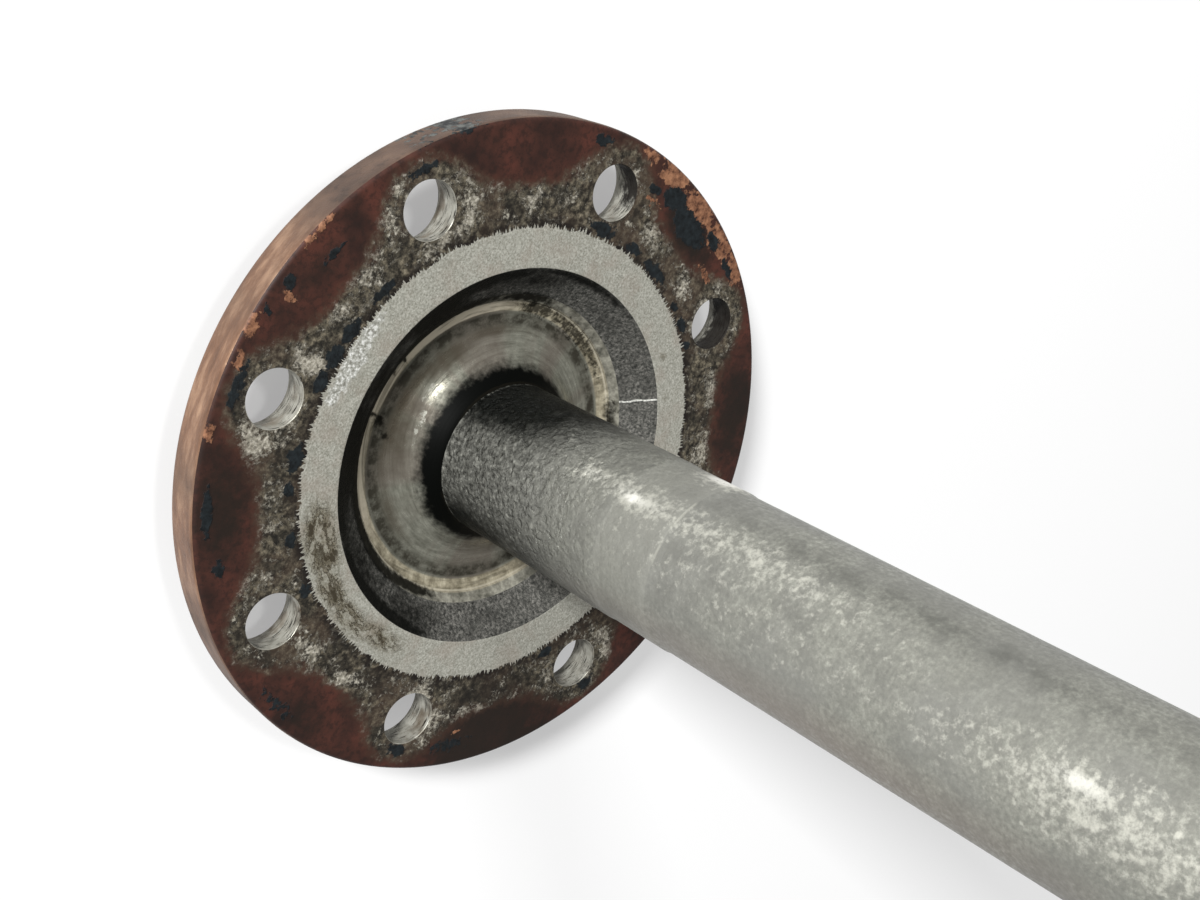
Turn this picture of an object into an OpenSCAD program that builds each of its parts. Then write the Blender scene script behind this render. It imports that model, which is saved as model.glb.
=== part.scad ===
// Full-floating axle shaft: one steel forging with a bolting flange, a dished
// recess on the hub side, a raised boss on the wheel side, and a splined inner end.
// Origin: centre of the bolt circle, on the flange's hub face. +Z runs along the shaft.
// The forging stands upright on the flat end of its boss.

/* [Flange] */
// Distance from the bolt circle out to the rim
rim_margin = 14.15; // [11:0.05:20]
// Thickness of the flange at its rim
flange_t = 10.5; // [8:0.5:14]
// Edge radius of the rim on the hub side
rim_front_r = 1.25; // [0.5:0.25:3]
// Edge radius of the rim on the wheel side
rim_back_r = 1.25; // [0.5:0.25:3]

/* [Bolt holes] */
// Number of bolt holes
bolt_count = 8; // [4:1:10]
// Diameter of the bolt circle
bolt_pcd = 139.7; // [125:0.1:160]
// Diameter of each bolt hole
bolt_hole_d = 13.8; // [10:0.1:16]
// Length of the straight part of each bolt hole, from the hub face
hole_land = 3; // [2:0.5:6]
// Growth of each bolt hole's radius through its tapered seat, out to the wheel side
seat_flare = 2.3; // [0.5:0.1:4]

/* [Recess] */
// Diameter of the recess at the hub face
recess_d = 97; // [90:0.5:104]
// Edge radius at the mouth of the recess
recess_edge_r = 0.6; // [0.2:0.1:1.5]
// Depth of the forged slope, down to the lip where the turned wall starts
lip_depth = 6.2; // [5:0.1:8]
// Edge radius on the lip
lip_edge_r = 0.6; // [0.2:0.1:1]
// Run of the turned wall from the lip in to its tool step
wall_top_run = 2.1; // [0.8:0.1:3]
// Drop of the turned wall from the lip down to its tool step
wall_top_drop = 1.9; // [0.8:0.1:3]
// Height of the tool step
step_h = 0.4; // [0.2:0.1:0.8]
// Run of the turned wall from the tool step in to the floor
wall_foot_run = 3; // [1.5:0.1:4]
// Drop of the turned wall from the tool step down to the floor
wall_foot_drop = 1.25; // [0.5:0.05:2.5]
// Diameter of the turned floor
floor_d = 70.8; // [64:0.2:76]
// Width of the flat ring of floor outside the root fillet
floor_flat_w = 3.2; // [1:0.1:5]
// Angle through which the root fillet turns, from the floor up to the neck
root_sweep = 65.5; // [45:0.5:78]

/* [Boss] */
// Height of the boss on the wheel side of the flange
boss_h = 11; // [8:0.5:16]
// Diameter of the boss at its flat end
boss_d = 80; // [74:0.5:84]
// Draft of the boss's side, in degrees
boss_draft = 20; // [10:1:28]
// Edge radius at the end of the boss
boss_edge_r = 4; // [1:0.5:6]
// Fillet between the boss and the flange
boss_fillet_r = 4; // [1:0.5:6]

/* [Shaft] */
// Length from the hub face to the splined end
shaft_len = 914; // [800:1:1050]
// Diameter of the as-forged neck next to the flange
neck_d = 38.5; // [38.3:0.1:40]
// Height at which the forged neck ends
neck_end = 53.5; // [40:0.5:80]
// Length over which the neck blends into the turned band
neck_blend = 2; // [1:0.5:10]
// Diameter of the turned band beyond the neck
band_d = 38.1; // [37.9:0.1:38.2]
// Length of the turned band
band_len = 16; // [6:1:30]
// Diameter of the long body of the shaft
body_d = 37.6; // [36:0.1:37.8]

/* [Spline] */
// Number of spline teeth
spline_teeth = 35; // [30:1:38]
// Module of the spline: pitch diameter divided by the number of teeth
spline_module = 1.0583; // [1:0.0001:1.1]
// Pressure angle of the spline, in degrees
spline_angle = 30; // [25:1:37]
// Length of the spline at full depth
spline_len = 78; // [50:1:110]
// Length over which the tooth spaces run out
runout_len = 12; // [6:1:20]
// Length of the lead chamfer at the splined end
lead_len = 4; // [2:0.5:6]
// Depth of the lead chamfer
lead_depth = 2.2; // [1.6:0.1:3]

/* [Lathe centres] */
// Pilot diameter of the centre hole in each end
centre_d = 5; // [3:0.5:7]
// Diameter of the centre hole's cone at the end face
centre_mouth_d = 10.6; // [8:0.2:13]
// Depth of the pilot
centre_depth = 11; // [9:0.5:14]

/* [Hidden] */
$fn = 96;
steel = "#7f7f7a";
arc_steps = 8;
root_steps = 16;
cut_over = 1;
blank_ramp = 1.5;
flank_steps = 3;
pilot_tip_angle = 59;
centre_cone_angle = 30;
tooth_addendum = 0.5;
tooth_dedendum = 0.675;

flange_r = bolt_pcd / 2 + rim_margin;
boss_end_z = -flange_t - boss_h;
boss_base_r = boss_d / 2 + boss_h * tan(boss_draft);
neck_r = neck_d / 2;
band_r = band_d / 2;
body_r = body_d / 2;

band_start = neck_end + neck_blend;
band_end = band_start + band_len;

// Radii and depths of the recess, from the floor out and from the lip down
floor_r = floor_d / 2;
step_r = floor_r + wall_foot_run;
lip_r = step_r + wall_top_run;
step_depth = lip_depth + wall_top_drop;
floor_depth = step_depth + step_h + wall_foot_drop;

// The root fillet starts level on the floor and ends at the edge of the forged neck
root_start_r = floor_r - floor_flat_w;
root_fillet_r = (root_start_r - neck_r) / sin(root_sweep);
root_centre = [root_start_r, root_fillet_r - floor_depth];

pitch_r = spline_teeth * spline_module / 2;
base_r = pitch_r * cos(spline_angle);
major_r = pitch_r + tooth_addendum * spline_module;
minor_r = pitch_r - tooth_dedendum * spline_module;
spline_start = shaft_len - spline_len;
runout_start = spline_start - runout_len;

// Corner rounding: points of an arc of radius r, tangent to a-b and b-c
function unit(v) = v / norm(v);
function rounded(a, b, c, r) =
    let (
        u = unit(a - b),
        v = unit(c - b),
        half = acos(u * v) / 2,
        centre = b + unit(u + v) * r / sin(half),
        p = b + u * r / tan(half) - centre,
        q = b + v * r / tan(half) - centre,
        start = atan2(p.y, p.x),
        sweep = (atan2(q.y, q.x) - start + 540) % 360 - 180
    )
    [for (i = [0:arc_steps]) centre + r * [cos(start + sweep * i / arc_steps), sin(start + sweep * i / arc_steps)]];

// A path of [point, corner radius] entries, with its corners rounded
function round_path(corners) = [
    for (i = [0:len(corners) - 1])
        let (point = corners[i][0], r = corners[i][1])
        if (r == 0) point
        else each rounded(corners[i - 1][0], point, corners[i + 1][0], r)
];

// Half section of a lathe centre hole, from the axis out to the end face at height z.
// The hole runs upwards where way is 1 and downwards where way is -1.
function centre_section(z, way) =
    let (
        pilot_r = centre_d / 2,
        mouth_r = centre_mouth_d / 2,
        cone_depth = (mouth_r - pilot_r) / tan(centre_cone_angle),
        tip_depth = pilot_r / tan(pilot_tip_angle)
    )
    [
        [[0, z + way * (centre_depth + tip_depth)], 0],
        [[pilot_r, z + way * centre_depth], 0],
        [[pilot_r, z + way * cone_depth], 0],
        [[mouth_r, z], 0]
    ];

function reversed(list) = [for (i = [len(list) - 1:-1:0]) list[i]];

// Half section of the boss and the flange, out along the wheel side and back to the recess
flange_section = [
    [[boss_d / 2, boss_end_z], boss_edge_r],
    [[boss_base_r, -flange_t], boss_fillet_r],
    [[flange_r, -flange_t], rim_back_r],
    [[flange_r, 0], rim_front_r],
    [[recess_d / 2, 0], recess_edge_r]
];

// Half section of the recess, from the lip in to the floor
recess_section = [
    [[lip_r, -lip_depth], lip_edge_r],
    [[step_r, -step_depth], 0],
    [[step_r, -step_depth - step_h], 0],
    [[floor_r, -floor_depth], 0]
];

// Half section of the root fillet, from the floor up to the neck
root_section = [
    for (i = [0:root_steps])
        let (turn = -90 - root_sweep * i / root_steps)
        [root_centre + root_fillet_r * [cos(turn), sin(turn)], 0]
];

// Half section of the shaft, from its forged neck up to the splined end
shaft_section = [
    [[neck_r, neck_end], 0],
    [[band_r, band_start], 0],
    [[band_r, band_end], 0],
    [[body_r, band_end + band_r - body_r], 0],
    [[body_r, runout_start - blank_ramp], 0],
    [[major_r, runout_start], 0],
    [[major_r, shaft_len - lead_len], 0],
    [[major_r - lead_depth, shaft_len], 0]
];

// The turned and forged form, before the holes and the spline are cut
module blank() {
    rotate_extrude()
        polygon(round_path(concat(
            centre_section(boss_end_z, 1),
            flange_section,
            recess_section,
            root_section,
            shaft_section,
            reversed(centre_section(shaft_len, -1))
        )));
}

// One bolt hole on the +X axis: straight at the hub face, then a tapered seat for a cone washer
module bolt_hole() {
    hole_r = bolt_hole_d / 2;
    seat_h = flange_t - hole_land;
    seat_reach = seat_h + cut_over;
    seat_r = hole_r + seat_flare * seat_reach / seat_h;
    translate([bolt_pcd / 2, 0, 0]) {
        translate([0, 0, -flange_t - cut_over])
            cylinder(h = flange_t + 2 * cut_over, r = hole_r);
        translate([0, 0, -flange_t - cut_over])
            cylinder(h = seat_reach, r1 = seat_r, r2 = hole_r);
    }
}

module bolt_holes() {
    for (i = [0:bolt_count - 1])
        rotate(i * 360 / bolt_count)
            bolt_hole();
}

// Involute function, in degrees, and half the angle of a tooth space at radius r
function involute(angle) = tan(angle) * 180 / PI - angle;
function half_space(r) =
    90 / spline_teeth - involute(spline_angle) + involute(acos(base_r / r));

// Outline of one tooth space, centred on the +X axis: the flanks are involutes
module tooth_space() {
    outer_r = major_r + cut_over;
    flank = [
        for (i = [0:flank_steps])
            let (r = minor_r + (outer_r - minor_r) * i / flank_steps)
            r * [cos(half_space(r)), sin(half_space(r))]
    ];
    polygon(concat(flank, [for (p = reversed(flank)) [p.x, -p.y]]));
}

// All tooth spaces, ending on the cone on which the cutter runs out
module tooth_spaces() {
    difference() {
        translate([0, 0, runout_start])
            linear_extrude(height = spline_len + runout_len + cut_over)
                for (i = [0:spline_teeth - 1])
                    rotate(i * 360 / spline_teeth)
                        tooth_space();
        translate([0, 0, runout_start])
            cylinder(h = runout_len, r1 = major_r + cut_over, r2 = minor_r);
    }
}

module axle_shaft() {
    color(steel)
        difference() {
            blank();
            bolt_holes();
            tooth_spaces();
        }
}

axle_shaft();
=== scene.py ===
"""A used axle shaft, standing on its boss: a forged bolting flange on a long splined shaft."""

import logging
import math
from dataclasses import dataclass, field
from enum import Enum
from functools import partial
from typing import Any, Sequence

import bpy
import numpy as np
from mathutils import Matrix, Vector


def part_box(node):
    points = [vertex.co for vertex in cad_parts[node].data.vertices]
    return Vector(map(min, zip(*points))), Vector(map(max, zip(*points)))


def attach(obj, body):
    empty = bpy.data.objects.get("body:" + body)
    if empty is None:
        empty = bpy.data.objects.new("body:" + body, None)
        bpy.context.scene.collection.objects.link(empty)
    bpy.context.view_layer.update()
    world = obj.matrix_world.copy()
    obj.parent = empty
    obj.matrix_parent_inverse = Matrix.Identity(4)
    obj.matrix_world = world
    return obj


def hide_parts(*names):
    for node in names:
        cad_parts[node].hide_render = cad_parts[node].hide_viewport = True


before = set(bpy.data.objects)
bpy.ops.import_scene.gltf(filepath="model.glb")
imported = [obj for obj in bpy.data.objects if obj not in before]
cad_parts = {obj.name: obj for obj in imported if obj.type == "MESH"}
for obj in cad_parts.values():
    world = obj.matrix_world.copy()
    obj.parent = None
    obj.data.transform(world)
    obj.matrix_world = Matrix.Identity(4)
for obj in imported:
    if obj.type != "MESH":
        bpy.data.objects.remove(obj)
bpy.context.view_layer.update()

LOG = logging.getLogger("axle_shaft")
MM = 0.001
Point = tuple[float, float]
Triple = tuple[float, float, float]
Socket = bpy.types.NodeSocket


def linear(code: str) -> tuple[float, float, float, float]:
    """Turns an sRGB hex colour into linear light.

    Args:
        code: The colour as "#rrggbb".

    Returns:
        Red, green, blue and alpha, in linear light.
    """
    parts = [int(code[i:i + 2], 16) / 255 for i in (1, 3, 5)]
    rgb = [c / 12.92 if c <= 0.04045 else ((c + 0.055) / 1.055) ** 2.4 for c in parts]
    return (rgb[0], rgb[1], rgb[2], 1.0)


def add_node(tree: bpy.types.NodeTree, kind: str, inputs: dict[Any, Any] | Sequence[Any] = (),
             out: int | str = 0, **settings: Any) -> Socket:
    """Adds a node, with its settings and links.

    Args:
        tree: The tree that gets the node.
        kind: The node's type name.
        inputs: Values, hex colours or sockets, by place or by name.
        out: The output to return, by place or by name.
        **settings: Properties of the node. "stops" holds the places and hex colours of a colour ramp.

    Returns:
        The chosen output socket, or the first input socket of a node with no output.
    """
    made = tree.nodes.new(kind)
    for name, value in settings.items():
        if name != "stops":
            setattr(made, name, value)
            continue
        bar = made.color_ramp.elements
        while len(bar) < len(value):
            bar.new(0.5)
        for element, (place, code) in zip(bar, value):
            element.position, element.color = place, linear(code)
    pairs = inputs.items() if isinstance(inputs, dict) else enumerate(inputs)
    for key, value in pairs:
        if isinstance(value, Socket):
            tree.links.new(value, made.inputs[key])
        else:
            hexed = isinstance(value, str) and value.startswith("#")
            made.inputs[key].default_value = linear(value) if hexed else value
    return made.outputs[out] if len(made.outputs) else made.inputs[0]


class Kind(Enum):
    """Nodes that the finishes are made of. A grain has levels from 0 to 1, about a middle of 0.5."""

    # place, seed, 1 / size in millimetres, detail, roughness
    GRAIN = ("ShaderNodeTexNoise", {"noise_dimensions": "4D"})
    # value, where it starts, where it ends, and the results there
    SMOOTH = ("ShaderNodeMapRange", {"interpolation_type": "SMOOTHSTEP"})
    PLUS = ("ShaderNodeMath", {"operation": "ADD"})
    LESS = ("ShaderNodeMath", {"operation": "SUBTRACT"})
    TIMES = ("ShaderNodeMath", {"operation": "MULTIPLY"})
    MOST = ("ShaderNodeMath", {"operation": "MAXIMUM"})
    SIZE = ("ShaderNodeMath", {"operation": "ABSOLUTE"})
    # share, value at 0, value at 1
    BLEND = ("ShaderNodeMix", {"data_type": "FLOAT"}, (0, 2, 3))
    # share, colour below, colour on top
    COAT = ("ShaderNodeMix", {"data_type": "RGBA"}, (0, 6, 7), 2)
    # level, with stops of level and colour
    TONES = ("ShaderNodeValToRGB", {})
    # a number that the mesh holds, by its attribute_name
    MARK = ("ShaderNodeAttribute", {}, (), 2)
    POINT = ("ShaderNodeCombineXYZ", {})
    JOIN = ("ShaderNodeVectorMath", {"operation": "ADD"})
    STRETCH = ("ShaderNodeVectorMath", {"operation": "MULTIPLY"})
    # place, factor
    GROW = ("ShaderNodeVectorMath", {"operation": "SCALE"}, (0, 3))
    UNIT = ("ShaderNodeVectorMath", {"operation": "NORMALIZE"})
    LENGTH = ("ShaderNodeVectorMath", {"operation": "LENGTH"}, (0,), 1)
    ALONG = ("ShaderNodeVectorMath", {"operation": "DOT_PRODUCT"}, (0, 1), 1)
    # strength, depth in metres, height
    BUMP = ("ShaderNodeBump", {}, ("Strength", "Distance", "Height"))

    def __init__(self, node: str, settings: dict[str, str], slots: tuple[int | str, ...] = (0, 1, 2, 3, 4),
                 out: int = 0) -> None:
        """Keeps the parts of the value.

        Args:
            node: The node's type name.
            settings: Properties that every node of the kind has.
            slots: The node's inputs, in the order in which they are given.
            out: The output that is taken.
        """
        self.node, self.settings, self.slots, self.out = node, settings, slots, out


class Zone(Enum):
    """Parts of the forging's surface, each with its own finish."""

    HUB_FACE = 0
    RIM = 1
    SLOPE = 2
    TURNED = 3
    SHAFT = 4
    BORE = 5
    SPLINE = 6


class Mark(Enum):
    """Kinds of stain on the forging. The oil mark also paints shade, and the sparkle mark also
    paints highlights. The value names the mesh attribute that holds it.
    """

    COPPER = "copper"
    SHEEN = "sheen"
    SCALE = "scale"
    RESIDUE = "residue"
    GRIME = "grime"
    # oil and grease, and painted shade
    OIL_AND_SHADE = "oil"
    # bright flecks and crystals, and painted highlights
    FLECK_AND_HIGHLIGHT = "sparkle"


@dataclass(frozen=True)
class Stain:
    """An oval stain, painted shade or painted highlight on the forging, in millimetres and degrees
    about the shaft.

    Attributes:
        angle: Direction of its middle.
        place: Distance of its middle from the axis, or its height if it is on the shaft.
        along: Half its length round the axis.
        across: Half its width away from the axis, or along the shaft.
        strength: How strong it is in the middle.
    """

    angle: float
    place: float
    along: float
    across: float
    strength: float = 1.0

    def share(self, turn: np.ndarray, side: np.ndarray, reach: float) -> np.ndarray:
        """How strong the stain is at some points. It is full up to a fifth of the way to its border.

        Args:
            turn: Directions of the points, in radians.
            side: Their distances from the axis, or their heights if the stain is on the shaft.
            reach: Distance from the axis at which its length is measured.

        Returns:
            The strength at each point, 0 outside the oval.
        """
        off = (turn - math.radians(self.angle) + np.pi) % (2 * np.pi) - np.pi
        away = np.hypot(off * reach / self.along, (side - self.place) / self.across)
        return self.strength * np.clip(1.25 * (1 - away), 0, 1)


# Stains on the flange and in the recess, and the painted shade and highlights that some of them
# carry, as read off the object: the values of a Stain, row by row
FLANGE_STAINS: dict[Mark, list[tuple[float, ...]]] = {
    # copper flakes where the rust lifts off
    Mark.COPPER: [
        (142, 82, 6, 4), (150, 80.5, 9, 4.5), (159, 80.5, 9, 5), (168, 81.5, 8, 4),
        (175, 82, 5, 2.5, 0.7), (146, 72.5, 5, 1.8, 0.8), (170, 73, 4, 1.8, 0.7), (260.5, 83, 4, 3, 0.9),
        (266, 81.5, 3, 2, 0.9), (254, 78.5, 1.4, 3.4, 0.8), (277, 82.5, 4, 2, 0.8),
        (243, 83, 7, 1.6, 0.7), (14, 74, 4, 1.2, 0.6),
    ],
    # worn sheen on the rim
    Mark.SHEEN: [
        (252, 84, 24, 9, 0.68), (272, 84, 34, 9), (297, 84, 26, 9, 0.95), (318, 84, 20, 9, 0.6),
        (205, 84, 14, 9, 0.3),
    ],
    # blue-black mill scale, and dark crumbs on the wall of the recess
    Mark.SCALE: [
        (151, 79, 5, 2.6), (158, 75, 10, 5, 1.2), (165, 77.2, 7, 4.2), (144, 79.5, 5, 1.6),
        (171, 75.5, 4, 1.6, 0.9), (140, 60.5, 3.5, 2.2), (146, 60.4, 2.4, 1.8), (158, 60.6, 7, 2.4),
        (168, 60.6, 4, 2.2), (134, 60.4, 2, 2.4), (179, 60.8, 6, 2.6), (187, 80.5, 4.5, 2.2, 0.9),
        (241, 60.8, 6, 2, 0.9), (252, 60.6, 5, 2.6), (258, 60.8, 5, 3), (264, 60.6, 4, 2.6),
        (281, 60.7, 5, 3), (288, 61, 2.5, 2.2), (299.5, 61, 3, 2.2), (313, 60.5, 2.6, 2.4),
        (252, 80.4, 2.4, 2.6), (257.5, 81, 1.8, 1.8), (290, 80.6, 9, 1.8), (300, 78.5, 2.6, 2.4),
        (244, 76.5, 6, 1.4, 0.7), (0, 78.5, 5, 2.4), (46, 78.6, 5, 2.8, 0.9), (38, 60.4, 3.4, 2.2),
        (270, 79.5, 9, 2.4, 0.8), (224, 79.2, 7, 1.8, 0.8), (215, 86, 10, 4.2), (222, 86, 7, 3.6, 0.9),
        (330, 80, 12, 3, 0.5), (12, 78, 12, 4, 0.5), (160, 36.8, 24, 2, 1.3), (182, 37, 9, 2.4, 1.5),
        (120, 39, 3, 1.4, 0.8),
    ],
    # old gasket round the holes, dried films on the fillet, and a pale film on the wall that is
    # painted light where the wall faces away from the key light
    Mark.RESIDUE: [
        (225, 69.9, 11.5, 11.2, 0.8), (216, 66, 5, 7), (243, 66.8, 10, 3.4), (238, 69, 5, 3),
        (232, 73, 3, 5), (270, 69.9, 11.5, 11, 0.8), (262, 66, 5, 8), (278, 71, 6, 9),
        (250, 66, 10, 4, 1.1), (290, 65, 12, 5, 0.7), (315, 69.9, 11, 10.5, 0.6), (305, 71, 4, 7, 0.9),
        (326, 67, 8, 7, 0.8), (337, 66, 10, 4, 0.7), (0, 69.9, 11, 10.6, 0.7), (6, 71, 4, 10, 0.9),
        (17, 68.6, 7, 2.6, 0.9), (28, 68.4, 6, 2.6, 0.8), (0, 62.3, 8, 3.4, 1.2),
        (225, 62.3, 8, 3.2, 1.1), (45, 69.9, 11, 11, 0.7), (54, 71, 4.5, 9), (36, 68, 4, 6, 0.7),
        (90, 66, 12, 6, 0.7), (105, 66.5, 10, 4.5), (119, 68, 6, 4.5), (135, 69.9, 11, 10.6, 0.75),
        (147, 65, 8, 4.5, 0.7), (165, 66, 9, 4, 0.6), (180, 69.9, 11, 10, 0.55), (199, 66, 12, 3.4, 0.7),
        (190, 65, 8, 5, 0.5), (230, 29, 12, 4.5, 0.95), (275, 28, 16, 5, 0.7), (245, 30, 12, 2.4, 0.9),
        (255, 28, 20, 5, 0.2), (205, 30.8, 14, 2.6, 0.8), (265, 30.6, 30, 3, 0.9),
        (315, 30.4, 18, 3, 0.7), (222, 37, 26, 2.8, 1.5), (292, 37, 26, 2.8, 0.9),
        (260, 37, 12, 2.8, 1.5),
    ],
    # dirt on the flange, and dried oil on the bright ring
    Mark.GRIME: [
        (303, 53.5, 14, 6, 1.1), (317, 54.5, 10, 4.5), (328, 54.5, 11, 4.2, 0.9), (340, 53, 11, 4, 0.8),
        (135, 52.3, 2, 1, 0.8), (122, 51, 3, 2, 0.3), (290, 77, 18, 11, 1.1), (247, 77, 10, 5, 0.6),
        (337, 78, 18, 10, 0.6), (315, 76, 12, 10, 0.5), (22, 78, 30, 17, 1.5), (112, 77, 24, 13, 1.1),
        (157, 75, 16, 9, 1.3), (20, 64, 20, 5.5, 0.9), (346, 63.5, 9, 5, 0.8), (335, 64, 10, 5, 0.75),
        (205, 62, 14, 4, 0.5), (112, 61, 14, 4, 0.4),
    ],
    # oil on the slope, which is painted shade where the slope faces away from the key light, oil along
    # the top of the wall and where it ran down, and grease in three bores, with painted shade inside the
    # one at 135°
    Mark.OIL_AND_SHADE: [
        (178, 47.6, 32, 2, 0.75), (222, 47, 40, 4.2), (285, 47, 40, 4.2), (330, 47.6, 30, 2.8, 1.3),
        (230, 44, 16, 6.5, 0.95), (282, 44, 24, 6.5), (205, 44.5, 22, 5, 0.5), (318, 44.5, 22, 5.5, 0.6),
        (257, 44, 14, 6, 0.75), (347, 44.5, 18, 6, 0.6), (192, 45, 16, 5.5, 0.6), (230, 40, 30, 2.2, 1.3),
        (285, 40, 32, 2.2, 1.4), (258, 40, 14, 2.1, 1.1), (346, 39.2, 13, 1.7, 1.2),
        (192, 39.8, 16, 2.2, 0.9), (318, 39.8, 26, 2.2, 1.2), (246.5, 37.6, 0.9, 3), (252, 38, 0.8, 2.5),
        (269, 37.4, 1, 3.6), (271, 34.4, 3.4, 3.2, 0.75), (276.5, 31.4, 2, 3, 0.7),
        (186, 37.6, 2, 1.6, 0.9), (114, 38.6, 14, 2.2, 0.7), (135, 71, 18, 18, 1.6),
        (177, 74, 12, 11, 0.95), (45, 73, 9, 6, 0.6),
    ],
    # bright crystals on the ring, and painted highlights on the fillet, as worn bright spots
    Mark.FLECK_AND_HIGHLIGHT: [
        (257, 55.6, 10, 3.2), (249, 56.4, 6, 2.2, 0.8), (266, 56, 4, 2.4, 0.7), (247, 26.6, 4, 1.1, 0.9),
        (262, 24.7, 8, 1.0, 0.9),
    ],
}

# Stains on the shaft, and the painted shade and highlights that some of them carry, with their heights
SHAFT_STAINS: dict[Mark, list[tuple[float, ...]]] = {
    # grease, and painted shade: darker down the sides of the neck away from the key light and in bands
    # along the bar
    Mark.OIL_AND_SHADE: [
        (215, -4, 16, 46, 1.7), (195, -4, 18, 50, 1.7), (320, 66, 6, 14, 0.25), (328, -2, 13, 56, 0.95),
        (312, 22, 9, 40, 0.4), (345, 14, 14, 60, 0.6), (210, 47, 16, 18, 0.22), (219, 130, 6, 95, 0.34),
        (259, 118, 5, 70, 0.2),
    ],
    # brownish film
    Mark.RESIDUE: [
        (326, 120, 11, 90, 0.6),
    ],
    # bright flecks, gathered into painted highlights: a streak along the bar and a glint at the band's
    # upper edge
    Mark.FLECK_AND_HIGHLIGHT: [
        (238, 88, 6, 54, 0.66), (240, 60, 5.5, 26, 0.8), (182, 67, 9, 9, 1.3), (241, 58, 3.2, 6, 1.2),
        (270, 182, 10, 54, 0.66), (260, 172, 4.6, 15, 0.9), (262, 100, 12, 60, 0.22),
        (240, 45, 5, 11, 0.75),
    ],
}


@dataclass(frozen=True)
class Sizes:
    """Sizes of the forging, in millimetres and degrees. The rim is 0.1 mm inside the solid's, whose
    facets lie inside a true circle."""

    flange_r: float = 83.9
    flange_t: float = 10.5
    rim_edge_r: float = 1.25
    bolt_count: int = 8
    bolt_circle_r: float = 69.85
    hole_r: float = 6.9
    hole_land: float = 3.0
    seat_flare: float = 2.3
    hole_worn_edge: float = 0.15
    recess_r: float = 48.5
    recess_edge_r: float = 0.6
    lip_r: float = 40.5
    lip_depth: float = 6.2
    lip_edge_r: float = 0.6
    step_r: float = 38.4
    step_depth: float = 8.1
    step_h: float = 0.4
    floor_r: float = 35.4
    floor_depth: float = 9.75
    root_start_r: float = 32.2
    root_sweep: float = 65.5
    boss_h: float = 11.0
    boss_r: float = 40.0
    boss_draft: float = 20.0
    boss_edge_r: float = 4.0
    boss_fillet_r: float = 4.0
    neck_r: float = 19.25
    neck_end: float = 53.5
    band_r: float = 19.05
    band_start: float = 55.5
    band_end: float = 71.5
    band_fall: float = 1.0
    body_r: float = 18.8
    shaft_len: float = 914.0
    teeth: int = 35
    module: float = 1.0583
    addendum: float = 0.5
    dedendum: float = 0.675
    pressure_angle: float = 30.0
    spline_len: float = 78.0
    runout_len: float = 12.0
    blank_ramp: float = 1.5
    lead_len: float = 4.0
    lead_depth: float = 2.2
    centre_r: float = 2.5
    centre_mouth_r: float = 5.3
    centre_depth: float = 11.0
    centre_cone_angle: float = 30.0
    centre_tip_angle: float = 59.0

    @property
    def boss_end_z(self) -> float:
        """Height of the boss's flat end."""
        return -self.flange_t - self.boss_h

    @property
    def pitch_r(self) -> float:
        """Pitch radius of the spline."""
        return self.teeth * self.module / 2

    @property
    def major_r(self) -> float:
        """Radius of the spline's tooth tips."""
        return self.pitch_r + self.addendum * self.module

    @property
    def minor_r(self) -> float:
        """Radius of the spline's tooth roots."""
        return self.pitch_r - self.dedendum * self.module

    @property
    def runout_start(self) -> float:
        """Height at which the tooth spaces start to run out."""
        return self.shaft_len - self.spline_len - self.runout_len

    def from_hole(self, r: np.ndarray, turn: np.ndarray) -> np.ndarray:
        """Distance of some points from the middle of the nearest bolt hole.

        Args:
            r: Their distances from the axis.
            turn: Their directions, in radians.

        Returns:
            The distances.
        """
        pitch = 2 * np.pi / self.bolt_count
        off = (turn + pitch / 2) % pitch - pitch / 2
        return np.hypot(r * np.cos(off) - self.bolt_circle_r, r * np.sin(off))


@dataclass(frozen=True)
class Station:
    """A corner of the half section, in millimetres.

    Attributes:
        r: Distance from the axis.
        z: Height.
        round: Corner radius.
        step: Spacing of the mesh rows on the way to the next corner.
        skin: Depth of the forged skin's roughness on the way to the next corner.
    """

    r: float
    z: float
    round: float = 0.0
    step: float = 2.0
    skin: float = 0.0


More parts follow.
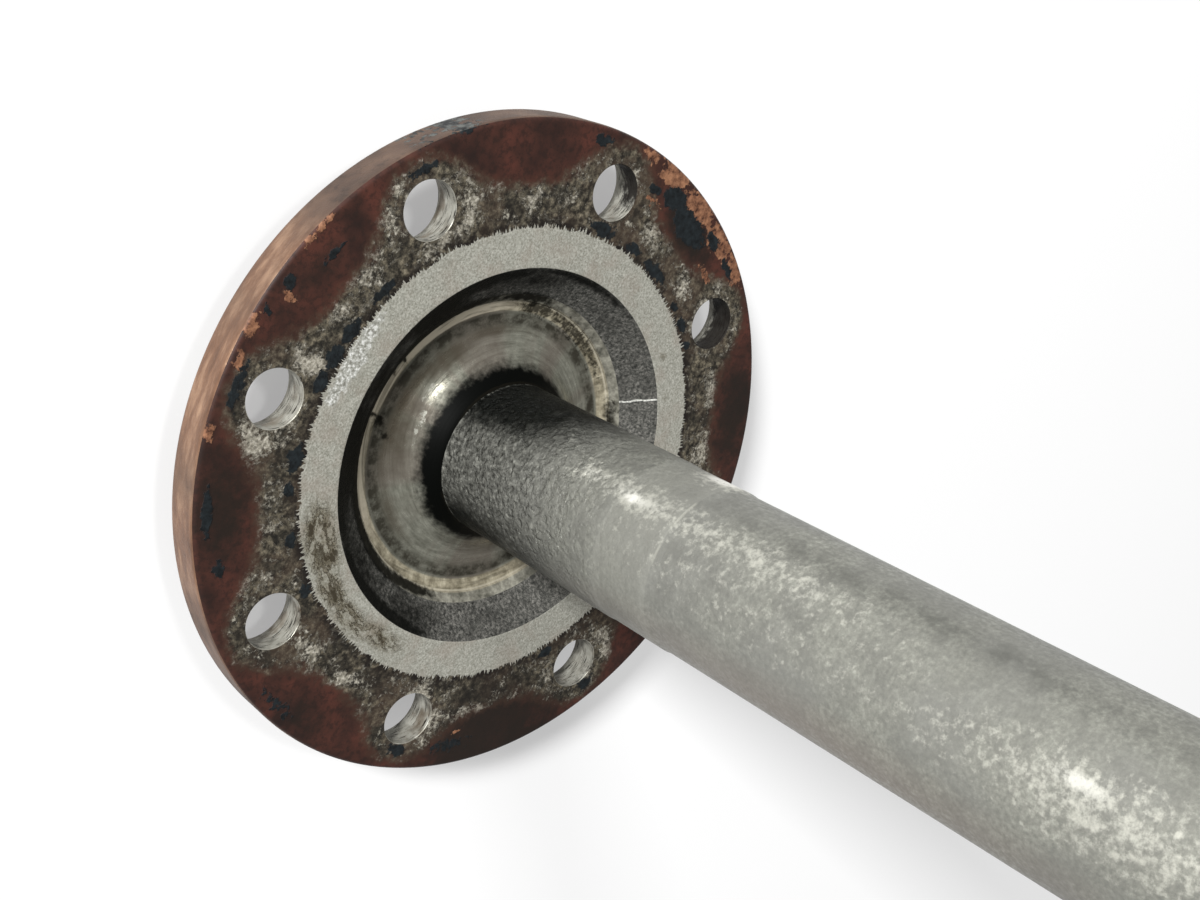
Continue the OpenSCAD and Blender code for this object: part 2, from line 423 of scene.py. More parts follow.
@dataclass
class HalfSection:
    """The half section of the forging, as rows of points for the lathe.

    Attributes:
        sizes: Sizes of the forging.
        arc_rows: Steps of a rounded corner.
        root_rows: Steps of the root fillet.
        close_up: Height up to which the rows of the shaft lie close together.
    """

    sizes: Sizes
    arc_rows: int = 5
    root_rows: int = 14
    close_up: float = 215.0

    def stations(self) -> list[Station]:
        """Corners of the half section, from the boss's centre hole to the spline's.

        Returns:
            The corners in order.
        """
        s = self.sizes
        end, top = s.boss_end_z, s.shaft_len
        cone = (s.centre_mouth_r - s.centre_r) / math.tan(math.radians(s.centre_cone_angle))
        tip = s.centre_r / math.tan(math.radians(s.centre_tip_angle))
        base_r = s.boss_r + s.boss_h * math.tan(math.radians(s.boss_draft))
        rise = (s.root_start_r - s.neck_r) / math.sin(math.radians(s.root_sweep))
        turns = [math.radians(s.root_sweep * i / self.root_rows) for i in range(self.root_rows + 1)]
        root = [
            (s.root_start_r - rise * math.sin(t), rise - s.floor_depth - rise * math.cos(t)) for t in turns
        ]
        return [
            Station(0, end + s.centre_depth + tip, step=3),
            Station(s.centre_r, end + s.centre_depth, step=7),
            Station(s.centre_r, end + cone, step=5),
            Station(s.centre_mouth_r, end, step=7),
            Station(s.boss_r, end, s.boss_edge_r, step=2, skin=0.12),
            Station(base_r, -s.flange_t, s.boss_fillet_r, step=4, skin=0.06),
            Station(s.flange_r, -s.flange_t, s.rim_edge_r, step=1.1, skin=0.1),
            Station(s.flange_r, 0, s.rim_edge_r, step=1.05, skin=0.05),
            Station(s.recess_r, 0, s.recess_edge_r, step=1.0, skin=0.14),
            Station(s.lip_r, -s.lip_depth, s.lip_edge_r, step=1.2),
            Station(s.step_r, -s.step_depth, step=1),
            Station(s.step_r, -s.step_depth - s.step_h, step=1.2),
            Station(s.floor_r, -s.floor_depth, step=1.3),
            *[Station(r, z, step=2) for r, z in root[:-1]],
            Station(*root[-1], step=1.0, skin=0.3),
            Station(s.neck_r, s.neck_end, step=1.2, skin=0.12),
            Station(s.band_r, s.band_start, step=2.2),
            Station(s.band_r, s.band_end, step=1),
            Station(s.body_r, s.band_end + s.band_fall, step=2.6, skin=0.05),
            Station(s.body_r, self.close_up, step=24, skin=0.05),
            Station(s.body_r, s.runout_start - s.blank_ramp, step=2),
            Station(s.major_r, s.runout_start, step=16),
            Station(s.major_r, top - s.lead_len, step=3),
            Station(s.major_r - s.lead_depth, top, step=6),
            Station(s.centre_mouth_r, top, step=5),
            Station(s.centre_r, top - cone, step=7),
            Station(s.centre_r, top - s.centre_depth, step=3),
            Station(0, top - s.centre_depth - tip),
        ]

    def rows(self) -> tuple[list[Point], list[float]]:
        """Points of the half section, close enough for the mesh.

        Returns:
            The points, and the depth of the forged skin at each. On a longer stretch the skin fades
            out towards the corners.
        """
        corners = self.stations()
        points: list[Point] = []
        skins: list[float] = []
        for i, c in enumerate(corners):
            here = self.arc(corners[i - 1], c, corners[i + 1]) if c.round else [(c.r, c.z)]
            if points:
                last, goal, before = points[-1], here[0], corners[i - 1]
                count = max(1, round(math.dist(last, goal) / before.step))
                for k in range(1, count):
                    t = k / count
                    points.append((last[0] + (goal[0] - last[0]) * t, last[1] + (goal[1] - last[1]) * t))
                    skins.append(before.skin * min(1.0, 2 * t, 2 - 2 * t) if count > 4 else before.skin)
            points += here
            skins += [0.0] * len(here)
        return points, skins

    def arc(self, a: Station, b: Station, c: Station) -> list[Point]:
        """Rounds one corner.

        Args:
            a: The corner before.
            b: The corner that is rounded.
            c: The corner after.

        Returns:
            Points of the arc, tangent to both sides.
        """
        p, q, w = (np.array((s.r, s.z)) for s in (a, b, c))
        u, v = (p - q) / np.linalg.norm(p - q), (w - q) / np.linalg.norm(w - q)
        half = math.acos(float(u @ v)) / 2
        centre = q + (u + v) / np.linalg.norm(u + v) * b.round / math.sin(half)
        start, stop = (q + d * b.round / math.tan(half) - centre for d in (u, v))
        first = math.atan2(start[1], start[0])
        sweep = (math.atan2(stop[1], stop[0]) - first + 3 * math.pi) % (2 * math.pi) - math.pi
        turns = [first + sweep * i / self.arc_rows for i in range(self.arc_rows + 1)]
        r, z = float(centre[0]), float(centre[1])
        return [(r + b.round * math.cos(t), z + b.round * math.sin(t)) for t in turns]


def mesh_object(name: str, points: Sequence[Sequence[float]], edges: Sequence[Sequence[int]] = (),
                faces: Sequence[Sequence[int]] = ()) -> bpy.types.Object:
    """Makes a mesh object from points in millimetres.

    Args:
        name: The object's name.
        points: Its corners.
        edges: Loose edges.
        faces: Faces.

    Returns:
        The object, linked to the scene.
    """
    mesh = bpy.data.meshes.new(name)
    mesh.from_pydata([[c * MM for c in p] for p in points], edges, faces)
    mesh.update()
    made = bpy.data.objects.new(name, mesh)
    bpy.context.scene.collection.objects.link(made)
    return made


@dataclass
class Cutters:
    """The tools that cut the bolt holes and the tooth spaces, each one on the +X side.

    Attributes:
        sizes: Sizes of the forging.
        hole_sides: Sides of the round tool.
        flank_rows: Steps of a tooth's flank.
        over: How far a tool reaches past what it cuts, in millimetres.
        lift: How far a tooth space ends above the teeth where it runs out.
    """

    sizes: Sizes
    hole_sides: int = 56
    flank_rows: int = 3
    over: float = 1.0
    lift: float = 0.3

    def bolt_hole(self) -> bpy.types.Object:
        """Makes the tool for one bolt hole.

        Returns:
            A closed round tool, straight at the hub face and tapered towards the wheel side.
        """
        s, n, over = self.sizes, self.hole_sides, self.over
        worn, seat = s.hole_worn_edge, s.flange_t - s.hole_land
        rings = [
            (s.hole_r + s.seat_flare * (seat + over) / seat, -s.flange_t - over),
            (s.hole_r, -s.hole_land),
            (s.hole_r, -worn),
            (s.hole_r + worn + over, over),
        ]
        turns = [2 * math.pi / n * i for i in range(n)]
        points = [
            (s.bolt_circle_r + r * math.cos(t), r * math.sin(t), z) for r, z in rings for t in turns
        ]
        return mesh_object("bolt_hole_tool", points, faces=self.skin(len(rings), n))

    def tooth_space(self) -> bpy.types.Object:
        """Makes the tool for one tooth space.

        Returns:
            A closed tool with involute flanks, which rises out of the bar where it runs out.
        """
        s = self.sizes
        outer = s.major_r + self.over
        ends = [
            (s.major_r + self.lift, s.runout_start),
            (s.minor_r, s.runout_start + s.runout_len),
            (s.minor_r, s.shaft_len + self.over),
        ]
        points: list[Triple] = []
        for inner, z in ends:
            radii = [inner + (outer - inner) * i / self.flank_rows for i in range(self.flank_rows + 1)]
            turns = [self.half_space(r) for r in radii]
            side = [(r * math.cos(t), r * math.sin(t), z) for r, t in zip(radii, turns)]
            points += [(x, -y, h) for x, y, h in side] + side[::-1]
        faces = self.skin(len(ends), 2 * self.flank_rows + 2)
        return mesh_object("tooth_space_tool", points, faces=faces)

    def half_space(self, r: float) -> float:
        """Half the angle of a tooth space.

        Args:
            r: The radius at which it is measured.

        Returns:
            The angle, in radians.
        """
        s = self.sizes
        flat = math.radians(s.pressure_angle)
        steep = math.acos(s.pitch_r * math.cos(flat) / r)
        return math.pi / (2 * s.teeth) - (math.tan(flat) - flat) + math.tan(steep) - steep

    @staticmethod
    def skin(rings: int, n: int) -> list[list[int]]:
        """Faces of a closed tube with flat ends.

        Args:
            rings: How many rings of points it has.
            n: How many points each ring has.

        Returns:
            The corners of each face.
        """
        sides = [
            [k * n + i, k * n + (i + 1) % n, (k + 1) * n + (i + 1) % n, (k + 1) * n + i]
            for k in range(rings - 1) for i in range(n)
        ]
        return [list(range(n))[::-1], *sides, list(range((rings - 1) * n, rings * n))]


@dataclass
class Lathe:
    """Geometry Nodes that turn the half section round the axis and cut what repeats.

    Attributes:
        segments: Faces round the axis.
        grain_mm: Size of the forged skin's bumps.
        seed: Picks the pattern of bumps.
        skin_level: Level of the grain above which the skin stays smooth.
        merge_mm: Distance within which points are joined, on the seam and on the axis.
        tree: The nodes.
    """

    segments: int = 288
    grain_mm: float = 2.6
    seed: float = 4.0
    skin_level: float = 0.68
    merge_mm: float = 0.005
    tree: bpy.types.NodeTree = field(init=False)

    def __post_init__(self) -> None:
        """Builds the tree."""
        self.tree = bpy.data.node_groups.new("turned_forging", "GeometryNodeTree")
        face = self.tree.interface
        for name, kind in (
            ("Half Section", "Geometry"), ("Segments", "Int"), ("Hole Tool", "Object"),
            ("Hole Count", "Int"), ("Space Tool", "Object"), ("Tooth Count", "Int"), ("Grain", "Float"),
            ("Seed", "Float"), ("Steel", "Material"),
        ):
            face.new_socket(name, in_out="INPUT", socket_type="NodeSocket" + kind)
        face.new_socket("Forging", in_out="OUTPUT", socket_type="NodeSocketGeometry")
        self.wire()

    def wire(self) -> None:
        """Adds the nodes: the lathe, the forged skin, the cuts and the material."""
        add = partial(add_node, self.tree)
        given = self.tree.nodes.new("NodeGroupInput").outputs
        section = given["Half Section"]
        count = add("GeometryNodeAttributeDomainSize", [section], out="Point Count")
        columns = add("FunctionNodeIntegerMath", [given["Segments"], 1], operation="ADD")
        sheet = add("GeometryNodeMeshGrid", [1.0, 1.0, columns, count])
        index = add("GeometryNodeInputIndex")
        column = add("FunctionNodeIntegerMath", [index, count], operation="DIVIDE_FLOOR")
        row = add("FunctionNodeIntegerMath", [index, count], operation="FLOORED_MODULO")
        share = add("ShaderNodeMath", [column, given["Segments"]], operation="DIVIDE")
        turn = add("ShaderNodeMath", [share, math.tau], operation="MULTIPLY")
        place = add("GeometryNodeInputPosition")
        corner = add("GeometryNodeSampleIndex", [section, place, row], data_type="FLOAT_VECTOR")
        turned = add("ShaderNodeVectorRotate", {"Vector": corner, "Angle": turn}, rotation_type="Z_AXIS")
        depth = add("GeometryNodeInputNamedAttribute", ["skin"], data_type="FLOAT")
        skin = add("GeometryNodeSampleIndex", [section, depth, row], data_type="FLOAT")
        marked = add("GeometryNodeStoreNamedAttribute", {"Geometry": sheet, "Name": "skin", "Value": skin},
                     data_type="FLOAT", domain="POINT")
        placed = add("GeometryNodeSetPosition", {"Geometry": marked, "Position": turned})
        near = self.merge_mm * MM
        closed = add("GeometryNodeMergeByDistance", {"Geometry": placed, "Distance": near})
        scale = add("ShaderNodeMath", [1.0 / MM, given["Grain"]], operation="DIVIDE")
        bumps = {"Vector": place, "W": given["Seed"], "Scale": scale, "Detail": 3.0, "Roughness": 0.6}
        grain = add("ShaderNodeTexNoise", bumps, noise_dimensions="4D")
        sunk = add("ShaderNodeMath", [grain, self.skin_level], operation="SUBTRACT")
        held = add("ShaderNodeMath", [sunk, 0.0], operation="MINIMUM")
        deep = add("ShaderNodeMath", [held, depth], operation="MULTIPLY")
        normal = add("GeometryNodeInputNormal")
        push = add("ShaderNodeVectorMath", {0: normal, "Scale": deep}, operation="SCALE")
        solid = add("GeometryNodeSetPosition", {"Geometry": closed, "Offset": push})
        for tool, many in (("Hole Tool", "Hole Count"), ("Space Tool", "Tooth Count")):
            cuts = [solid, self.ring(given[tool], given[many])]
            solid = add("GeometryNodeMeshBoolean", cuts, operation="DIFFERENCE", solver="MANIFOLD")
        real = add("GeometryNodeRealizeInstances", [solid])
        steel = add("GeometryNodeSetMaterial", {"Geometry": real, "Material": given["Steel"]})
        add("NodeGroupOutput", [steel])

    def ring(self, tool: Socket, count: Socket) -> Socket:
        """Repeats a tool round the axis.

        Args:
            tool: The object socket of the tool.
            count: How many there are.

        Returns:
            The geometry of all the tools.
        """
        add = partial(add_node, self.tree)
        shape = add("GeometryNodeObjectInfo", {"Object": tool}, out="Geometry")
        points = add("GeometryNodeMeshLine", {"Count": count, "Offset": (0.0, 0.0, 0.0)})
        share = add("ShaderNodeMath", [add("GeometryNodeInputIndex"), count], operation="DIVIDE")
        turn = add("ShaderNodeMath", [share, math.tau], operation="MULTIPLY")
        way = add("FunctionNodeAxisAngleToRotation", [(0.0, 0.0, 1.0), turn])
        many = add("GeometryNodeInstanceOnPoints", {"Points": points, "Instance": shape, "Rotation": way})
        return add("GeometryNodeRealizeInstances", [many])

    def run(self, section: bpy.types.Object, hole_tool: bpy.types.Object, space_tool: bpy.types.Object,
            sizes: Sizes, steel: bpy.types.Material) -> bpy.types.Mesh:
        """Runs the tree on a half section.

        Args:
            section: The half section, as a line of points with a skin depth each.
            hole_tool: The tool for one bolt hole.
            space_tool: The tool for one tooth space.
            sizes: Sizes of the forging.
            steel: The material that the forging starts with.

        Returns:
            The forging as a plain mesh.
        """
        lathe = section.modifiers.new("lathe", "NODES")
        lathe.node_group = self.tree
        values = {
            "Segments": self.segments, "Hole Tool": hole_tool, "Hole Count": sizes.bolt_count,
            "Space Tool": space_tool, "Tooth Count": sizes.teeth, "Grain": self.grain_mm,
            "Seed": self.seed, "Steel": steel,
        }
        for item in self.tree.interface.items_tree:
            if item.in_out == "INPUT" and item.name in values:
                lathe[item.identifier] = values[item.name]
        graph = bpy.context.evaluated_depsgraph_get()
        mesh = bpy.data.meshes.new_from_object(section.evaluated_get(graph), depsgraph=graph)
        section.modifiers.remove(lathe)
        return mesh


@dataclass
class Surface:
    """A new material, with the places from which its patterns are measured.

    Attributes:
        name: The material's name.
        specular: Level of the shine on whatever is not bare metal.
        material: The material itself.
        tree: Its nodes.
        shader: Its shader.
        mm: Place on the forging, in millimetres.
        flat: The same place at height zero.
        way: Direction from the axis.
        r: Distance from the axis.
        z: Height.
    """

    name: str
    specular: float = 0.5
    material: bpy.types.Material = field(init=False)
    tree: bpy.types.NodeTree = field(init=False)
    shader: bpy.types.Node = field(init=False)
    mm: Socket = field(init=False)
    flat: Socket = field(init=False)
    way: Socket = field(init=False)
    r: Socket = field(init=False)
    z: Socket = field(init=False)

    def __post_init__(self) -> None:
        """Makes the material, its shader and its coordinates in millimetres."""
        self.material = bpy.data.materials.new(self.name)
        self.material.use_nodes = True
        self.tree = self.material.node_tree
        self.tree.nodes.clear()
        self.shader = self.tree.nodes.new("ShaderNodeBsdfPrincipled")
        self.shader.inputs["Specular IOR Level"].default_value = self.specular
        add_node(self.tree, "ShaderNodeOutputMaterial", [self.shader.outputs[0]])
        place = add_node(self.tree, "ShaderNodeTexCoord", out="Object")
        self.mm = self.add(Kind.GROW, place, 1 / MM)
        self.flat = self.add(Kind.STRETCH, self.mm, (1.0, 1.0, 0.0))
        self.way = self.add(Kind.UNIT, self.flat)
        self.r = self.add(Kind.LENGTH, self.flat)
        self.z = self.add(Kind.ALONG, self.mm, (0.0, 0.0, 1.0))

    def add(self, kind: Kind, *inputs: Any, **settings: Any) -> Socket:
        """Adds a node of a named kind to this material, as add_node does.

        Args:
            kind: The kind of node.
            *inputs: Values, hex colours or sockets, in the kind's order.
            **settings: Properties of the node, besides those that its kind has.

        Returns:
            The output that its kind takes.
        """
        given = dict(zip(kind.slots, inputs))
        return add_node(self.tree, kind.node, given, kind.out, **kind.settings, **settings)

    def flakes(self, mark: Mark, size_mm: float, low: float = 0.64, high: float = 0.7, gain: float = 0.42,
               seed: float = 0.0) -> Socket:
        """Share of a stain that breaks up into flakes at its border.

        Args:
            mark: The kind of stain.
            size_mm: Size of the flakes.
            low: Level at which the stain starts.
            high: Level at which it covers fully.
            gain: How far the stain lifts the grain.
            seed: Picks another grain.

        Returns:
            The share, from 0 to 1.
        """
        value = self.add(Kind.MARK, attribute_name=mark.value)
        grain = self.add(Kind.GRAIN, self.mm, seed, 1 / size_mm, 5.0, 0.65)
        lifted = self.add(Kind.PLUS, grain, self.add(Kind.TIMES, value, gain))
        inside = self.add(Kind.SMOOTH, value, 0.0, 0.1)
        return self.add(Kind.TIMES, self.add(Kind.SMOOTH, lifted, low, high), inside)

    def film(self, mark: Mark, size_mm: float, spread: float, low: float, high: float,
             seed: float = 0.0) -> Socket:
        """Share of a stain that fades out, a little cloudy.

        Args:
            mark: The kind of stain.
            size_mm: Size of the clouds.
            spread: How far the clouds move the border.
            low: Level at which the stain starts.
            high: Level at which it covers fully.
            seed: Picks another cloud pattern.

        Returns:
            The share, from 0 to 1.
        """
        value = self.add(Kind.MARK, attribute_name=mark.value)
        cloud = self.add(Kind.LESS, self.add(Kind.GRAIN, self.mm, seed, 1 / size_mm, 4.0, 0.6), 0.5)
        moved = self.add(Kind.PLUS, value, self.add(Kind.TIMES, cloud, spread))
        inside = self.add(Kind.SMOOTH, value, 0.0, 0.12)
        return self.add(Kind.TIMES, self.add(Kind.SMOOTH, moved, low, high), inside)

    def finish(self, color: Socket, metallic: Socket | float, roughness: Socket | float, height: Socket,
               height_mm: float) -> bpy.types.Material:
        """Links the shader.

        Args:
            color: Base colour.
            metallic: Share of bare metal.
            roughness: Roughness.
            height: Relief, from 0 to 1.
            height_mm: Depth of the relief.

        Returns:
            The finished material.
        """
        bump = self.add(Kind.BUMP, 1.0, height_mm * MM, height)
        wires = {"Base Color": color, "Metallic": metallic, "Roughness": roughness, "Normal": bump}
        for name, value in wires.items():
            if isinstance(value, Socket):
                self.tree.links.new(value, self.shader.inputs[name])
            else:
                self.shader.inputs[name].default_value = value
        return self.material


@dataclass(frozen=True)
class HubFaceFinish:
    """Faced steel flange: a bright ring that oil kept clean, a mottled contact area with old
    gasket on it, and brown rust between the holes, where the hub does not cover the flange.

    Attributes:
        ring_r: Outer radius of the bright ring.
        tooth_mm: Spacing of its ragged teeth.
        tooth_depth: Their length.
        soot_mm: How far the soot round the ring reaches.
        line_r: Radius at which the lines of dried oil are drawn. It is less than the ring's, so they
            come out long.
    """

    ring_r: float = 58.3
    tooth_mm: float = 0.5
    tooth_depth: float = 1.3
    soot_mm: float = 4.2
    line_r: float = 26.0

    def build(self) -> bpy.types.Material:
        """Makes the material.

        Returns:
            The material.
        """
        s = Surface("faced_flange_steel", specular=0.18)
        add, k = s.add, Kind
        fine = add(k.GRAIN, s.mm, 0, 1 / 0.5, 2, 0.55)
        mid = add(k.GRAIN, s.mm, 0, 1 / 1.8, 6, 0.7)
        broad = add(k.GRAIN, s.mm, 0, 1 / 10, 3, 0.55)
        lobe_mm = add(k.MARK, attribute_name="lobe_mm")
        wander = add(k.LESS, add(k.GRAIN, s.mm, 3, 1 / 3, 5, 0.65), 0.5)
        border = add(k.PLUS, lobe_mm, add(k.TIMES, wander, 7))
        lobe = add(k.SMOOTH, border, -1.6, 1.7)
        ring = self.ring(s)
        contact, residue = self.contact(s, mid)
        color = add(k.COAT, lobe, contact, self.rust(s, mid, broad, border))
        copper = s.flakes(Mark.COPPER, 2.2, seed=2)
        foil = add(k.GRAIN, s.mm, 9, 1 / 1.7, 6, 0.7)
        foil = add(k.TONES, foil, stops=[(0.36, "#38231b"), (0.47, "#74503c"), (0.64, "#9c7155")])
        color = add(k.COAT, copper, color, foil)
        scale = s.flakes(Mark.SCALE, 2, 0.66, 0.74, 0.48, 4)
        plates = add(k.TONES, mid, stops=[(0.35, "#0d0f10"), (0.65, "#23292c")])
        color = add(k.COAT, scale, color, plates)
        color = add(k.COAT, ring, color, self.bright(s, broad))
        metal = add(k.TIMES, ring, 0.35)
        dull = add(k.BLEND, lobe, 0.7, 0.5)
        rough = add(k.BLEND, ring, dull, 0.45)
        crust = add(k.TIMES, add(k.PLUS, mid, residue), 0.5)
        crust = add(k.PLUS, crust, add(k.TIMES, fine, 0.3))
        skin = add(k.TIMES, add(k.GRAIN, s.mm, 19, 1 / 1.4, 3, 0.55), 0.25)
        relief = add(k.BLEND, lobe, crust, skin)
        relief = add(k.PLUS, relief, add(k.TIMES, add(k.PLUS, copper, scale), 0.4))
        faced = add(k.PLUS, add(k.TIMES, fine, 0.4), 0.8)
        relief = add(k.BLEND, ring, relief, faced)
        return s.finish(color, metal, rough, relief, 0.3)

    def ring(self, s: Surface) -> Socket:
        """Share of the bright ring, whose outer edge is ragged like the gasket that bore on it.

        Args:
            s: The material.

        Returns:
            The share, 1 on the ring.
        """
        add, k = s.add, Kind
        spin = add(k.GROW, s.way, self.ring_r)
        teeth = add(k.GRAIN, spin, 0, 1 / self.tooth_mm, 1, 0.5)
        teeth = add(k.SMOOTH, teeth, 0.42, 0.72, 0, self.tooth_depth)
        wave = add(k.TIMES, add(k.LESS, add(k.GRAIN, spin, 2, 1 / 5, 2, 0.55), 0.62), 2.2)
        reach = add(k.PLUS, add(k.PLUS, teeth, wave), self.ring_r)
        return add(k.SMOOTH, add(k.LESS, reach, s.r), -0.1, 0.15)

    def contact(self, s: Surface, mid: Socket) -> tuple[Socket, Socket]:
        """Dark crust round the holes, with pale old gasket where it held on.

        Args:
            s: The material.
            mid: Its middle grain.

        Returns:
            The colour, and the share of gasket.
        """
        add, k = s.add, Kind
        stops = [(0.36, "#141310"), (0.46, "#322e27"), (0.55, "#5a5447"), (0.66, "#877e6c")]
        color = add(k.TONES, mid, stops=stops)
        brown = add(k.SMOOTH, add(k.GRAIN, s.mm, 5, 1 / 15, 2, 0.55), 0.45, 0.62, 0, 0.55)
        color = add(k.COAT, brown, color, "#45382e")
        crust = add(k.SMOOTH, add(k.GRAIN, s.mm, 33, 1 / 5, 4, 0.6), 0.5, 0.62, 0, 0.65)
        color = add(k.COAT, crust, color, "#1c1b18")
        soil = add(k.TIMES, s.film(Mark.GRIME, 3, 1.2, 0.1, 0.9, 25), 0.75)
        color = add(k.COAT, soil, color, "#1b1815")
        small = add(k.TIMES, add(k.GRAIN, s.mm, 13, 1, 6, 0.75), 0.6)
        large = add(k.TIMES, add(k.GRAIN, s.mm, 14, 1 / 3.2, 4, 0.6), 0.4)
        held = add(k.TIMES, add(k.MARK, attribute_name=Mark.RESIDUE.value), 0.11)
        patch = add(k.TIMES, add(k.LESS, add(k.GRAIN, s.mm, 31, 1 / 6, 3, 0.55), 0.5), 0.35)
        gasket = add(k.PLUS, add(k.PLUS, small, large), add(k.PLUS, held, patch))
        residue = add(k.SMOOTH, gasket, 0.53, 0.62)
        pale = add(k.GRAIN, s.mm, 15, 1 / 0.8, 4, 0.7)
        pale = add(k.TONES, pale, stops=[(0.34, "#5e5a50"), (0.5, "#908b7e"), (0.66, "#c2bdb0")])
        color = add(k.COAT, residue, color, pale)
        soot = add(k.SMOOTH, add(k.GRAIN, s.mm, 7, 1 / 2.6, 4, 0.6), 0.42, 0.56)
        soot = add(k.TIMES, soot, add(k.SMOOTH, s.r, self.ring_r + self.soot_mm, self.ring_r + 0.3))
        return add(k.COAT, soot, color, "#1d1815"), residue

    def rust(self, s: Surface, mid: Socket, broad: Socket, border: Socket) -> Socket:
        """Brown rust film, dark with dirt in places and paler along its border.

        Args:
            s: The material.
            mid: Its middle grain.
            broad: Its broad grain.
            border: Distance from the border of the film, in millimetres.

        Returns:
            The colour.
        """
        add, k = s.add, Kind
        color = add(k.TONES, broad, stops=[(0.32, "#281c19"), (0.5, "#3d2620"), (0.66, "#4f2e26")])
        dark = add(k.SMOOTH, mid, 0.46, 0.6, 0, 0.6)
        color = add(k.COAT, dark, color, "#261c19")
        soil = add(k.TIMES, s.film(Mark.GRIME, 4, 1.8, 0.1, 1.1, 21), 0.88)
        color = add(k.COAT, soil, color, "#211c18")
        pale = add(k.SMOOTH, border, 2.8, 0.2, 0, 0.45)
        return add(k.COAT, pale, color, "#483328")

    def bright(self, s: Surface, broad: Socket) -> Socket:
        """Pale faced steel, with oil that dried in lines round the axis and a patch of bright crystals.

        Args:
            s: The material.
            broad: Its broad grain.

        Returns:
            The colour.
        """
        add, k = s.add, Kind
        color = add(k.GRAIN, s.mm, 11, 1 / 0.45, 3, 0.7)
        color = add(k.TONES, color, stops=[(0.34, "#87867b"), (0.5, "#a8a79c"), (0.66, "#c9c8be")])
        warm = add(k.SMOOTH, broad, 0.45, 0.65, 0, 0.4)
        color = add(k.COAT, warm, color, "#a2968a")
        turn = add(k.GROW, s.way, self.line_r)
        lines = add(k.GRAIN, add(k.JOIN, turn, add(k.POINT, 0, 0, s.r)), 23, 1 / 1.6, 5, 0.65)
        oil = add(k.MARK, attribute_name=Mark.GRIME.value)
        film = add(k.TIMES, add(k.SMOOTH, oil, 0, 0.8), add(k.SMOOTH, lines, 0.35, 0.6, 0.3, 0.8))
        color = add(k.COAT, film, color, "#716851")
        crack = add(k.SMOOTH, add(k.SIZE, add(k.LESS, lines, 0.5)), 0.035, 0.006, 0, 0.85)
        spot = add(k.SMOOTH, add(k.PLUS, lines, add(k.TIMES, oil, 0.12)), 0.61, 0.68, 0, 0.85)
        dried = add(k.TIMES, add(k.MOST, crack, spot), add(k.SMOOTH, oil, 0.1, 0.6))
        color = add(k.COAT, dried, color, "#332c21")
        glitter = add(k.GRAIN, s.mm, 17, 1 / 0.9, 4, 0.7)
        glitter = add(k.TONES, glitter, stops=[(0.38, "#87867d"), (0.5, "#b5b5ad"), (0.61, "#efefeb")])
        return add(k.COAT, s.flakes(Mark.FLECK_AND_HIGHLIGHT, 1.2, 0.55, 0.75, 0.5, 8), color, glitter)


@dataclass(frozen=True)
class RimFinish:
    """Rusty forging skin on the rim, the wheel side and the boss: a brown oxide film that is worn
    to a copper sheen where hands and tools rub it.

    Attributes:
        streak_r: Radius at which the streaks are drawn. It is less than the rim's, so they come out long.
    """

    streak_r: float = 24.0

    def build(self) -> bpy.types.Material:
        """Makes the material.

        Returns:
            The material.
        """
        s = Surface("oxidised_forging", specular=0.3)
        add, k = s.add, Kind
        broad = add(k.GRAIN, s.mm, 0, 1 / 16, 3, 0.55)
        mid = add(k.GRAIN, s.mm, 0, 1 / 2.4, 4, 0.6)
        fine = add(k.GRAIN, s.mm, 0, 1 / 0.6, 2, 0.55)
        color = add(k.TONES, broad, stops=[(0.32, "#3b312b"), (0.5, "#55443a"), (0.66, "#6a5648")])
        color = add(k.COAT, add(k.SMOOTH, mid, 0.5, 0.72, 0, 0.6), color, "#332a26")
        sheen = s.film(Mark.SHEEN, 9, 0.7, 0.1, 1, 2)
        run = add(k.JOIN, add(k.GROW, s.way, self.streak_r), add(k.STRETCH, s.mm, (0, 0, 1)))
        tan = add(k.GRAIN, run, 3, 1 / 3, 5, 0.65)
        tan = add(k.TONES, tan, stops=[(0.32, "#614738"), (0.5, "#7b5c48"), (0.68, "#a3836a")])
        color = add(k.COAT, sheen, color, tan)
        scale = s.flakes(Mark.SCALE, 2.4, 0.66, 0.72, 0.42, 4)
        plates = add(k.TONES, mid, stops=[(0.4, "#1a1c1d"), (0.6, "#5b5d5a")])
        color = add(k.COAT, scale, color, plates)
        rough = add(k.BLEND, sheen, 0.6, 0.42)
        relief = add(k.PLUS, mid, add(k.TIMES, fine, 0.3))
        relief = add(k.PLUS, relief, add(k.TIMES, scale, 0.8))
        return s.finish(color, add(k.TIMES, sheen, 0.3), rough, relief, 0.2)


